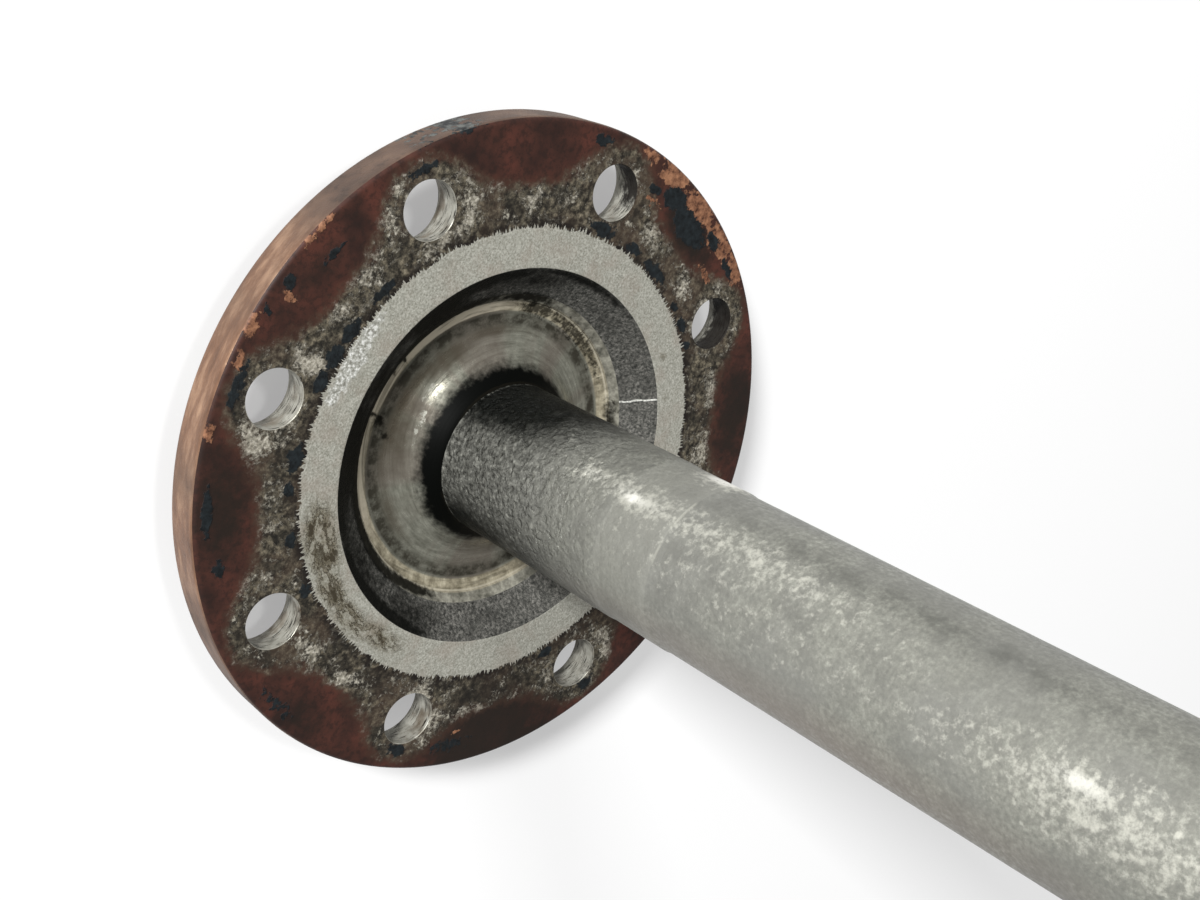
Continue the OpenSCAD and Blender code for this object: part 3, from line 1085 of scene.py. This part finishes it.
@dataclass(frozen=True)
class SlopeFinish:
    """Forged slope of the recess: dark grainy scale, as it left the die, wet with old oil on one
    side, which is also painted shade where the slope faces away from the key light, with one bright
    scratch across it.

    Attributes:
        scratch: Direction of the scratch, in degrees.
    """

    scratch: float = 122.0

    def build(self) -> bpy.types.Material:
        """Makes the material.

        Returns:
            The material.
        """
        s = Surface("forging_scale", specular=0.06)
        add, k = s.add, Kind
        grit = add(k.GRAIN, s.mm, 0, 1 / 0.8, 4, 0.75)
        mid = add(k.GRAIN, s.mm, 0, 1 / 5, 4, 0.6)
        stops = [(0.36, "#2d2d2b"), (0.48, "#52524e"), (0.58, "#716f6a"), (0.7, "#94938c")]
        color = add(k.TONES, grit, stops=stops)
        color = add(k.COAT, add(k.SMOOTH, mid, 0.45, 0.65, 0, 0.5), color, "#3a3a37")
        # old oil, and painted shade on the side of the slope that faces away from the key light
        oil = s.film(Mark.OIL_AND_SHADE, 1.8, 0.9, 0.12, 0.78, 6)
        color = add(k.COAT, add(k.TIMES, oil, 0.94), color, "#080907")
        turn = math.radians(self.scratch)
        off = add(k.ALONG, s.flat, (-math.sin(turn), math.cos(turn), 0))
        along = add(k.ALONG, s.flat, (math.cos(turn), math.sin(turn), 0))
        bent = add(k.TIMES, add(k.LESS, mid, 0.5), 1.5)
        line = add(k.SMOOTH, add(k.SIZE, add(k.PLUS, off, bent)), 0.35, 0.12)
        line = add(k.TIMES, line, add(k.SMOOTH, along, 0, 1))
        line = add(k.TIMES, line, add(k.SMOOTH, grit, 0.38, 0.5))
        color = add(k.COAT, line, color, "#d9d9d2")
        rough = add(k.BLEND, oil, 0.55, 0.42)
        return s.finish(color, 0.2, rough, grit, 0.4)


@dataclass(frozen=True)
class TurnedFinish:
    """Turned steel inside the recess: fine tool rings, pinkish steel at the top of the wall, tan oil
    stain below its step, painted light where the wall faces away from the key light, painted shade on the
    floor, black grease and painted shade round the root of the shaft, and painted highlights on the fillet
    and on the step's edge.

    Attributes:
        step_r: Radius of the wall's tool step.
        floor_r: Radius of the floor.
        root_start_r: Radius at which the root fillet starts.
        grease_and_shade_r: Radius of the black band round the root, grease and painted shade.
        tool_mm: Spacing of the tool rings. Real ones are finer, and they are drawn this coarse to show.
        mark_r: Radius at which the fillet's tool marks are drawn. It is small, so they come out long.
        sector_r: Radius at which the fillet's tinted sectors are measured.
        line_r: Radius at which the wall's lines are drawn. It is small, so they come out long.
    """

    step_r: float
    floor_r: float
    root_start_r: float
    grease_and_shade_r: float = 22.9
    tool_mm: float = 0.7
    mark_r: float = 3.5
    sector_r: float = 27.0
    line_r: float = 5.0

    def build(self) -> bpy.types.Material:
        """Makes the material.

        Returns:
            The material.
        """
        s = Surface("turned_steel", specular=0.04)
        add, k = s.add, Kind
        groove = add(k.POINT, s.r, s.z, 0)
        rings = add(k.GRAIN, groove, 0, 1 / self.tool_mm, 2, 0.6)
        mid = add(k.GRAIN, s.mm, 0, 1 / 2.4, 5, 0.65)
        fine = add(k.GRAIN, s.mm, 0, 1 / 0.5, 2, 0.55)
        wall = add(k.SMOOTH, s.r, self.floor_r - 0.4, self.floor_r + 0.3)
        color = add(k.COAT, wall, self.fillet(s, groove, mid), self.wall(s, mid))
        # painted shade: the floor darkens between the foot of the wall and the fillet
        valley = add(k.SMOOTH, s.r, self.root_start_r - 2.6, self.root_start_r + 0.6)
        valley = add(k.TIMES, valley, add(k.SMOOTH, s.r, self.floor_r + 0.3, self.floor_r - 1))
        cloud = add(k.SMOOTH, add(k.GRAIN, s.mm, 4, 1 / 2.6, 5, 0.65), 0.34, 0.6, 0.62, 1)
        valley = add(k.TIMES, valley, cloud)
        color = add(k.COAT, valley, color, "#34322b")
        # black round the root: grease, and painted shade and dark reflection in the fillet's crease
        ragged = add(k.TIMES, add(k.LESS, mid, 0.5), 4)
        grease_and_shade = add(k.SMOOTH, add(k.PLUS, s.r, ragged), self.grease_and_shade_r + 2.6, self.grease_and_shade_r - 1.4)
        color = add(k.COAT, grease_and_shade, color, "#070807")
        # oil along the top of the wall and where it ran down, with the painted shade that the slope's oil
        # mark carries over the lip
        oil = s.film(Mark.OIL_AND_SHADE, 1.4, 1.3, 0.2, 0.75, 6)
        color = add(k.COAT, add(k.TIMES, oil, 0.94), color, "#11100c")
        crumbs = add(k.TIMES, s.flakes(Mark.SCALE, 1, 0.54, 0.74, 0.2, 4), 0.85)
        color = add(k.COAT, crumbs, color, "#15130f")
        # painted highlights on the fillet, as worn bright spots
        worn = s.flakes(Mark.FLECK_AND_HIGHLIGHT, 1.4, 0.6, 0.74, 0.22, 8)
        color = add(k.COAT, worn, color, "#c3c2b6")
        dull = add(k.MOST, add(k.MOST, wall, valley), add(k.MOST, grease_and_shade, oil))
        metal = add(k.BLEND, dull, 0.7, 0.1)
        shine = add(k.SMOOTH, mid, 0.4, 0.65, 0.18, 0.28)
        rough = add(k.BLEND, dull, shine, 0.52)
        relief = add(k.PLUS, add(k.TIMES, rings, 0.6), add(k.TIMES, add(k.PLUS, fine, mid), 0.2))
        return s.finish(color, metal, rough, relief, 0.1)

    def fillet(self, s: Surface, groove: Socket, mid: Socket) -> Socket:
        """Pale satin steel of the root fillet, pinkish in sectors.

        Args:
            s: The material.
            groove: Place across the tool rings.
            mid: The material's middle grain.

        Returns:
            The colour.
        """
        add, k = s.add, Kind
        turn = add(k.JOIN, add(k.GROW, s.way, self.mark_r), groove)
        marks = add(k.TIMES, add(k.GRAIN, turn, 2, 1 / 0.8, 5, 0.65), 0.6)
        tone = add(k.PLUS, marks, add(k.TIMES, mid, 0.4))
        color = add(k.TONES, tone, stops=[(0.38, "#7a7a6e"), (0.5, "#969689"), (0.62, "#b0b0a2")])
        sector = add(k.GRAIN, add(k.GROW, s.way, self.sector_r), 5, 1 / 9, 3, 0.5)
        color = add(k.COAT, add(k.SMOOTH, sector, 0.4, 0.62, 0, 0.5), color, "#807269")
        film = add(k.TIMES, s.film(Mark.RESIDUE, 3, 0.6, 0.05, 0.95, 12), 0.8)
        return add(k.COAT, film, color, "#585043")

    def wall(self, s: Surface, mid: Socket) -> Socket:
        """Tan oil stain that ran down the wall in streaks, with painted light where the wall faces away
        from the key light, and pinkish steel above the tool step, whose edge has a painted highlight.

        Args:
            s: The material.
            mid: The material's middle grain.

        Returns:
            The colour.
        """
        add, k = s.add, Kind
        drips = add(k.GRAIN, add(k.GROW, s.way, self.step_r), 3, 1 / 2, 4, 0.6)
        tone = add(k.PLUS, add(k.TIMES, drips, 0.35), add(k.TIMES, mid, 0.65))
        tan = add(k.TONES, tone, stops=[(0.36, "#625c4c"), (0.5, "#8e8774"), (0.62, "#b0a994")])
        # pale film, which is painted light where the wall faces away from the key light
        pale = s.film(Mark.RESIDUE, 2, 0.9, 0.1, 1, 16)
        tan = add(k.COAT, pale, tan, "#c9c0ac")
        turn = add(k.JOIN, add(k.GROW, s.way, self.line_r), add(k.POINT, s.r, s.z, 0))
        lines = add(k.SMOOTH, add(k.GRAIN, turn, 6, 1 / 1.3, 3, 0.55), 0.53, 0.38, 0, 0.48)
        tan = add(k.COAT, lines, tan, "#3a3529")
        grey = add(k.TONES, mid, stops=[(0.36, "#53524a"), (0.5, "#77756b"), (0.64, "#979589")])
        color = add(k.COAT, add(k.SMOOTH, s.r, self.step_r - 0.1, self.step_r + 0.3), tan, grey)
        # painted highlight along the tool step's edge, as a worn bright line
        edge = add(k.SIZE, add(k.LESS, s.r, self.step_r - 0.25))
        worn = add(k.SMOOTH, edge, 0.4, 0.1, 0, 0.4)
        return add(k.COAT, worn, color, "#c4bead")


@dataclass(frozen=True)
class ShaftFinish:
    """Steel bar: black pitted forging skin next to the flange, which gives way to a pale satin
    body whose rolled surface sparkles in small flecks. The flecks gather into painted highlights, the
    neck's lower edge has a painted highlight, and grease and painted shade darken the sides of the neck
    and bands along the bar.

    Attributes:
        band_start: Height at which the turned band starts.
        band_end: Height at which it ends.
        skin_fade: Height at which the black skin starts to give way.
        skin_end: Height at which it is gone.
        skin_wander: How far the border moves up and down.
    """

    band_start: float
    band_end: float
    skin_fade: float = 14.0
    skin_end: float = 60.0
    skin_wander: float = 30.0

    def build(self) -> bpy.types.Material:
        """Makes the material.

        Returns:
            The material.
        """
        s = Surface("rolled_bar_steel", specular=0.08)
        add, k = s.add, Kind
        pits = add(k.GRAIN, s.mm, 0, 1 / 1.1, 5, 0.68)
        fleck = add(k.GRAIN, s.mm, 2, 1, 4, 0.65)
        mid = add(k.GRAIN, s.mm, 0, 1 / 5, 4, 0.6)
        broad = add(k.GRAIN, s.mm, 0, 1 / 26, 2, 0.55)
        level = add(k.PLUS, s.z, add(k.TIMES, add(k.LESS, mid, 0.5), self.skin_wander))
        clean = add(k.SMOOTH, level, self.skin_fade, self.skin_end)
        dents = add(k.SMOOTH, add(k.GRAIN, s.mm, 7, 1 / 1.7, 4, 0.6), 0.35, 0.57)
        black = [(0.36, "#3a3a36"), (0.48, "#575752"), (0.58, "#6f6f69")]
        black += [(0.66, "#8c8c84"), (0.73, "#b6b6aa")]
        skin = add(k.TONES, pits, stops=black)
        pale = [(0.34, "#7b7c75"), (0.5, "#898981"), (0.62, "#94958c"), (0.74, "#a6a69b")]
        bar = add(k.TONES, fleck, stops=pale)
        bar = add(k.COAT, add(k.SMOOTH, broad, 0.4, 0.62, 0, 0.6), bar, "#82827d")
        bar = add(k.COAT, add(k.SMOOTH, mid, 0.45, 0.6, 0, 0.45), bar, "#787872")
        color = add(k.COAT, clean, skin, bar)
        color = self.band(s, color, mid)
        film = add(k.TIMES, add(k.MARK, attribute_name=Mark.RESIDUE.value), 0.8)
        color = add(k.COAT, film, color, "#8b8077")
        # bright flecks, which also paint the highlight streak and glints along the bar
        flecks_and_highlight = s.flakes(Mark.FLECK_AND_HIGHLIGHT, 1.5, 0.55, 0.82, 0.25, 4)
        color = add(k.COAT, add(k.TIMES, flecks_and_highlight, 0.6), color, "#d2d1c5")
        dense = add(k.SMOOTH, add(k.MARK, attribute_name=Mark.FLECK_AND_HIGHLIGHT.value), 0.6, 1.3)
        color = add(k.COAT, add(k.TIMES, flecks_and_highlight, dense), color, "#efeee6")
        # grease, and painted shade down the sides of the neck and in bands along the bar
        cloud = add(k.SMOOTH, mid, 0.32, 0.68, 0.74, 1.14)
        grease_and_shade = add(k.TIMES, add(k.MARK, attribute_name=Mark.OIL_AND_SHADE.value), cloud)
        grease_and_shade = add(k.SMOOTH, grease_and_shade, 0, 1, 0, 0.95)
        color = add(k.COAT, grease_and_shade, color, "#070908")
        # painted highlight along the neck's lower edge
        worn = add(k.TIMES, add(k.SMOOTH, s.z, -0.5, -1), add(k.SMOOTH, pits, 0.48, 0.6, 0, 0.3))
        color = add(k.COAT, worn, color, "#8e8e86")
        satin = add(k.SMOOTH, fleck, 0.35, 0.7, 0.5, 0.34)
        rough = add(k.BLEND, clean, 0.33, satin)
        relief = add(k.PLUS, dents, add(k.TIMES, add(k.PLUS, pits, fleck), 0.26))
        relief = add(k.TIMES, relief, add(k.BLEND, clean, 1, 0.07))
        return s.finish(color, add(k.TIMES, clean, 0.55), rough, relief, 0.6)

    def band(self, s: Surface, color: Socket, mid: Socket) -> Socket:
        """Smoother turned band, with painted glints in dots along its upper edge.

        Args:
            s: The material.
            color: The colour so far.
            mid: The material's middle grain.

        Returns:
            The colour with the band.
        """
        add, k = s.add, Kind
        start = add(k.SMOOTH, s.z, self.band_start - 1.2, self.band_start - 0.6)
        stop = add(k.SMOOTH, s.z, self.band_end + 0.3, self.band_end)
        band = add(k.TIMES, add(k.TIMES, start, stop), 0.45)
        color = add(k.COAT, band, color, "#96968e")
        # painted glints in dots along the band's upper edge, where the sparkle mark lies
        away = add(k.SIZE, add(k.LESS, s.z, self.band_end + 0.1))
        lit = add(k.SMOOTH, add(k.MARK, attribute_name=Mark.FLECK_AND_HIGHLIGHT.value), 0.03, 0.2)
        edge = add(k.TIMES, add(k.SMOOTH, away, 0.4, 0.15), add(k.SMOOTH, mid, 0.46, 0.58, 0, 0.3))
        return add(k.COAT, add(k.TIMES, edge, lit), color, "#cbcabd")


@dataclass(frozen=True)
class BoreFinish:
    """Drilled holes in the flange: pale steel with dark scores round the bore, black with grease
    in places, with painted shade inside the bore at 135°."""

    def build(self) -> bpy.types.Material:
        """Makes the material.

        Returns:
            The material.
        """
        s = Surface("drilled_steel", specular=0.04)
        add, k = s.add, Kind
        around = add(k.STRETCH, s.mm, (0.25, 0.25, 2.5))
        scores = add(k.GRAIN, around, 0, 1, 4, 0.65)
        mid = add(k.GRAIN, s.mm, 0, 1 / 3, 3, 0.55)
        color = add(k.TONES, mid, stops=[(0.35, "#7d7b72"), (0.5, "#a2a096"), (0.7, "#bdbcb2")])
        color = add(k.COAT, add(k.SMOOTH, scores, 0.45, 0.4), color, "#231f1b")
        tan = add(k.SMOOTH, add(k.GRAIN, s.mm, 5, 1 / 7, 3, 0.55), 0.52, 0.68, 0, 0.6)
        color = add(k.COAT, tan, color, "#6a5b49")
        # grease in three bores, and painted shade inside the bore at 135°
        grease_and_shade = s.film(Mark.OIL_AND_SHADE, 1.8, 1.6, 0.25, 0.75, 6)
        color = add(k.COAT, add(k.TIMES, grease_and_shade, 0.95), color, "#151110")
        metal = add(k.BLEND, grease_and_shade, 0.4, 0)
        return s.finish(color, metal, 0.45, scores, 0.15)


@dataclass(frozen=True)
class SplineFinish:
    """Cut spline: clean grey steel that darkens towards the roots of the tooth spaces, with fine cutter
    lines.

    Attributes:
        root_r: Radius of the tooth roots.
    """

    root_r: float = 17.9

    def build(self) -> bpy.types.Material:
        """Makes the material.

        Returns:
            The material.
        """
        s = Surface("cut_spline_steel")
        add, k = s.add, Kind
        # real cutter lines are finer, and these are as coarse as they need to show
        drawn = add(k.STRETCH, s.mm, (2, 2, 0.12))
        lines = add(k.GRAIN, drawn, 0, 1, 3, 0.6)
        cloud = add(k.GRAIN, s.mm, 0, 1 / 6, 3, 0.55)
        color = add(k.TONES, cloud, stops=[(0.35, "#7b7b76"), (0.65, "#9d9d97")])
        # darker towards the tooth roots
        oil = add(k.SMOOTH, s.r, self.root_r + 0.7, self.root_r, 0, 0.7)
        color = add(k.COAT, oil, color, "#3d3a34")
        return s.finish(color, 0.5, 0.4, lines, 0.05)


@dataclass
class AxleShaft:
    """The forging: flange, boss, shaft and spline in one piece.

    Attributes:
        sizes: Sizes of the forging.
        sharp_angle: Angle between faces, in degrees, from which an edge stays sharp.
        contact_r: Radius of the hub's footprint between the holes.
        halo_r: Radius of its footprint round a hole.
        blend_mm: Width over which the two run into each other.
        stain_r: Radius at which the stains on the shaft are measured.
    """

    sizes: Sizes = field(default_factory=Sizes)
    sharp_angle: float = 34.0
    contact_r: float = 68.4
    halo_r: float = 11.4
    blend_mm: float = 12.0
    stain_r: float = 19.0

    def build(self) -> bpy.types.Object:
        """Turns, cuts, stains and dresses the forging.

        Returns:
            The finished piece.
        """
        s = self.sizes
        finishes = {
            Zone.HUB_FACE: HubFaceFinish(),
            Zone.RIM: RimFinish(),
            Zone.SLOPE: SlopeFinish(),
            Zone.TURNED: TurnedFinish(s.step_r, s.floor_r, s.root_start_r),
            Zone.SHAFT: ShaftFinish(s.band_start, s.band_end),
            Zone.BORE: BoreFinish(),
            Zone.SPLINE: SplineFinish(),
        }
        materials = [finishes[zone].build() for zone in Zone]
        points, skins = HalfSection(s).rows()
        edges = [(i, i + 1) for i in range(len(points) - 1)]
        section = mesh_object("half_section", [(r, 0, z) for r, z in points], edges)
        depth = section.data.attributes.new("skin", "FLOAT", "POINT")
        depth.data.foreach_set("value", np.array(skins, np.float32) * MM)
        cutters = Cutters(s)
        tools = [cutters.bolt_hole(), cutters.tooth_space()]
        mesh = Lathe().run(section, *tools, s, materials[Zone.RIM.value])
        for spare in (section, *tools):
            bpy.data.objects.remove(spare)
        mesh.name = "axle_forging"
        self.dress(mesh, materials)
        piece = bpy.data.objects.new("axle_forging", mesh)
        bpy.context.scene.collection.objects.link(piece)
        return piece

    def dress(self, mesh: bpy.types.Mesh, materials: list[bpy.types.Material]) -> None:
        """Gives the mesh its materials, its stains and its edges.

        Args:
            mesh: The turned and cut forging.
            materials: One material for each zone, in order.
        """
        mesh.materials.clear()
        for m in materials:
            mesh.materials.append(m)
        mesh.polygons.foreach_set("material_index", self.zones(mesh).astype(np.int32))
        x, y, z = self.vectors(mesh.vertices, "co") / MM
        r, turn = np.hypot(x, y), np.arctan2(y, x)
        on_shaft = (r < self.sizes.neck_r + 0.1) & (z > -2)
        on_flange = ~on_shaft & (z > 0.1 - self.sizes.flange_t)
        values = {m.value: np.zeros(len(r), np.float32) for m in Mark}
        for table, side, where in ((FLANGE_STAINS, r, on_flange), (SHAFT_STAINS, z, on_shaft)):
            for mark, rows in table.items():
                for stain in (Stain(*row) for row in rows):
                    reach = stain.place if side is r else self.stain_r
                    share = stain.share(turn, side, reach) * where
                    values[mark.value] = np.maximum(values[mark.value], share)
        values["lobe_mm"] = self.lobe(r, turn)
        for name, value in values.items():
            attribute = mesh.attributes.new(name, "FLOAT", "POINT")
            attribute.data.foreach_set("value", value.astype(np.float32))
        mesh.shade_smooth()
        mesh.set_sharp_from_angle(angle=math.radians(self.sharp_angle))
        mesh.update()

    def lobe(self, r: np.ndarray, turn: np.ndarray) -> np.ndarray:
        """Distance outside the hub's scalloped footprint, in millimetres.

        Args:
            r: Distance from the axis.
            turn: Direction, in radians.

        Returns:
            Positive values where the hub leaves the flange bare.
        """
        a, b = r - self.contact_r, self.sizes.from_hole(r, turn) - self.halo_r
        share = np.clip(0.5 + 0.5 * (b - a) / self.blend_mm, 0, 1)
        return b + (a - b) * share - self.blend_mm * share * (1 - share)

    @staticmethod
    def vectors(items: bpy.types.bpy_prop_collection, name: str) -> np.ndarray:
        """Reads one vector of each vertex or face.

        Args:
            items: The vertices or faces.
            name: The vector's name.

        Returns:
            The three components, each for all items.
        """
        flat = np.empty(len(items) * 3, np.float32)
        items.foreach_get(name, flat)
        return flat.reshape(-1, 3).T

    def zones(self, mesh: bpy.types.Mesh) -> np.ndarray:
        """Zone of each face. Where two zones meet, the later one in the list takes the face.

        Args:
            mesh: The turned and cut forging.

        Returns:
            The zone's number for each face.
        """
        s = self.sizes
        x, y, z = self.vectors(mesh.polygons, "center") / MM
        up = self.vectors(mesh.polygons, "normal")[2]
        r = np.hypot(x, y)
        lip, near = s.lip_r - 0.2, 0.05
        inside = (r < s.recess_r + 0.3) & (z > -s.floor_depth - 0.5) & (up > -0.2)
        top = z > -s.rim_edge_r - near
        bore = s.from_hole(r, np.arctan2(y, x)) < s.hole_r + s.seat_flare + 0.7
        through = (z < near) & (z > -s.flange_t - near)
        made = np.full(len(r), Zone.RIM.value)
        for zone, where in (
            (Zone.SLOPE, inside & (r > lip)),
            (Zone.TURNED, inside & (r <= lip)),
            (Zone.HUB_FACE, (up > 0.9) & (r > s.recess_r - 0.5) & top),
            (Zone.HUB_FACE, (up > 0.5) & (r > s.recess_r + 3) & top),
            (Zone.SHAFT, (r < s.neck_r + 0.15) & (z > -1.45)),
            (Zone.BORE, bore & (np.abs(up) < 0.97) & through),
            (Zone.SPLINE, z > s.runout_start - s.blank_ramp - 0.1),
        ):
            made[where] = zone.value
        return made


@dataclass(frozen=True)
class Lamp:
    """A square lamp that faces the flange.

    Attributes:
        name: Its name.
        way: Direction from the flange to the lamp.
        away: Distance, in metres.
        size: Side of the square, in metres.
        power: Power, in watts.
    """

    name: str
    way: Triple
    away: float
    size: float
    power: float

    def build(self) -> None:
        """Adds the lamp to the scene."""
        light = bpy.data.lights.new(self.name, "AREA")
        light.shape = "SQUARE"
        light.size = self.size
        light.energy = self.power
        made = bpy.data.objects.new(self.name, light)
        made.location = Vector(self.way).normalized() * self.away
        made.rotation_mode = "QUATERNION"
        made.rotation_quaternion = Vector(self.way).to_track_quat("Z", "Y")
        bpy.context.scene.collection.objects.link(made)


@dataclass
class Studio:
    """White floor, soft light and the camera.

    Attributes:
        floor_z: Height of the floor.
        floor_half: Half the floor's width, in millimetres.
        paper: How much light the floor throws back.
        paper_glow: Light that it adds where it is seen.
        sky: Strength of the even light from all round.
        lamps: The lamps.
        camera_at: Where the camera is.
        right: Direction to the right of the picture.
        up: Direction to the top of the picture.
        lens: Focal length, in millimetres, for a sensor 36 mm wide.
    """

    floor_z: float
    floor_half: float = 60000.0
    paper: float = 0.58
    paper_glow: float = 0.36
    sky: float = 0.3
    lamps: tuple[Lamp, ...] = (
        Lamp("key", (-0.253, -0.828, 0.5), 4.0, 0.6, 240.0),
        Lamp("overhead", (-0.33, -0.28, 0.90), 3.0, 0.3, 15.0),
    )
    camera_at: Triple = (-0.0485, -0.2548, 0.2759)
    right: Triple = (-0.36981, 0.67493, 0.63852)
    up: Triple = (-0.92368, -0.19290, -0.33106)
    lens: float = 46.22

    def build(self) -> None:
        """Makes the floor, the light and the camera."""
        self.floor()
        for lamp in self.lamps:
            lamp.build()
        self.world()
        self.camera()

    def floor(self) -> None:
        """A pale floor that stays white behind the object and keeps its shadow."""
        half = self.floor_half
        corners = [(-half, -half), (half, -half), (half, half), (-half, half)]
        made = mesh_object("floor", [(x, y, self.floor_z / MM) for x, y in corners], faces=[(0, 1, 2, 3)])
        sheet = bpy.data.materials.new("white_paper")
        sheet.use_nodes = True
        tree = sheet.node_tree
        shader = tree.nodes["Principled BSDF"]
        for name, value in (
            ("Base Color", (self.paper, self.paper, self.paper, 1.0)), ("Roughness", 0.9),
            ("Specular IOR Level", 0.0), ("Emission Color", (1.0, 1.0, 1.0, 1.0)),
        ):
            shader.inputs[name].default_value = value
        path = tree.nodes.new("ShaderNodeLightPath").outputs
        seen = path["Is Camera Ray"]
        for ray in ("Is Glossy Ray", "Is Transmission Ray"):
            seen = add_node(tree, "ShaderNodeMath", [seen, path[ray]], operation="MAXIMUM")
        glow = add_node(tree, "ShaderNodeMath", [seen, self.paper_glow], operation="MULTIPLY")
        tree.links.new(glow, shader.inputs["Emission Strength"])
        made.data.materials.append(sheet)

    def world(self) -> None:
        """Even white light from all round."""
        world = bpy.data.worlds.new("studio")
        world.use_nodes = True
        back = world.node_tree.nodes["Background"]
        back.inputs["Color"].default_value = (1.0, 1.0, 1.0, 1.0)
        back.inputs["Strength"].default_value = self.sky
        bpy.context.scene.world = world

    def camera(self) -> None:
        """The camera at the photograph's place, rolled as it was."""
        lens = bpy.data.cameras.new("camera")
        lens.sensor_width = 36.0
        lens.lens = self.lens
        lens.clip_start = 0.01
        made = bpy.data.objects.new("camera", lens)
        right, up = Vector(self.right).normalized(), Vector(self.up)
        up = (up - right * up.dot(right)).normalized()
        turn = Matrix((right, up, right.cross(up))).transposed()
        made.matrix_world = Matrix.Translation(self.camera_at) @ turn.to_4x4()
        bpy.context.scene.collection.objects.link(made)
        bpy.context.scene.camera = made


def main() -> None:
    """Builds the scene and logs the finished piece's triangle count."""
    logging.basicConfig(level=logging.INFO, format="%(name)s: %(message)s")
    bpy.context.scene.view_settings.view_transform = "Standard"
    piece = AxleShaft().build()
    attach(piece, "root")
    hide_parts("axle_shaft")
    piece.data.calc_loop_triangles()
    LOG.info("%s: %d triangles", piece.name, len(piece.data.loop_triangles))
    Studio(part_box("axle_shaft")[0].z).build()


if __name__ == "__main__":
    main()
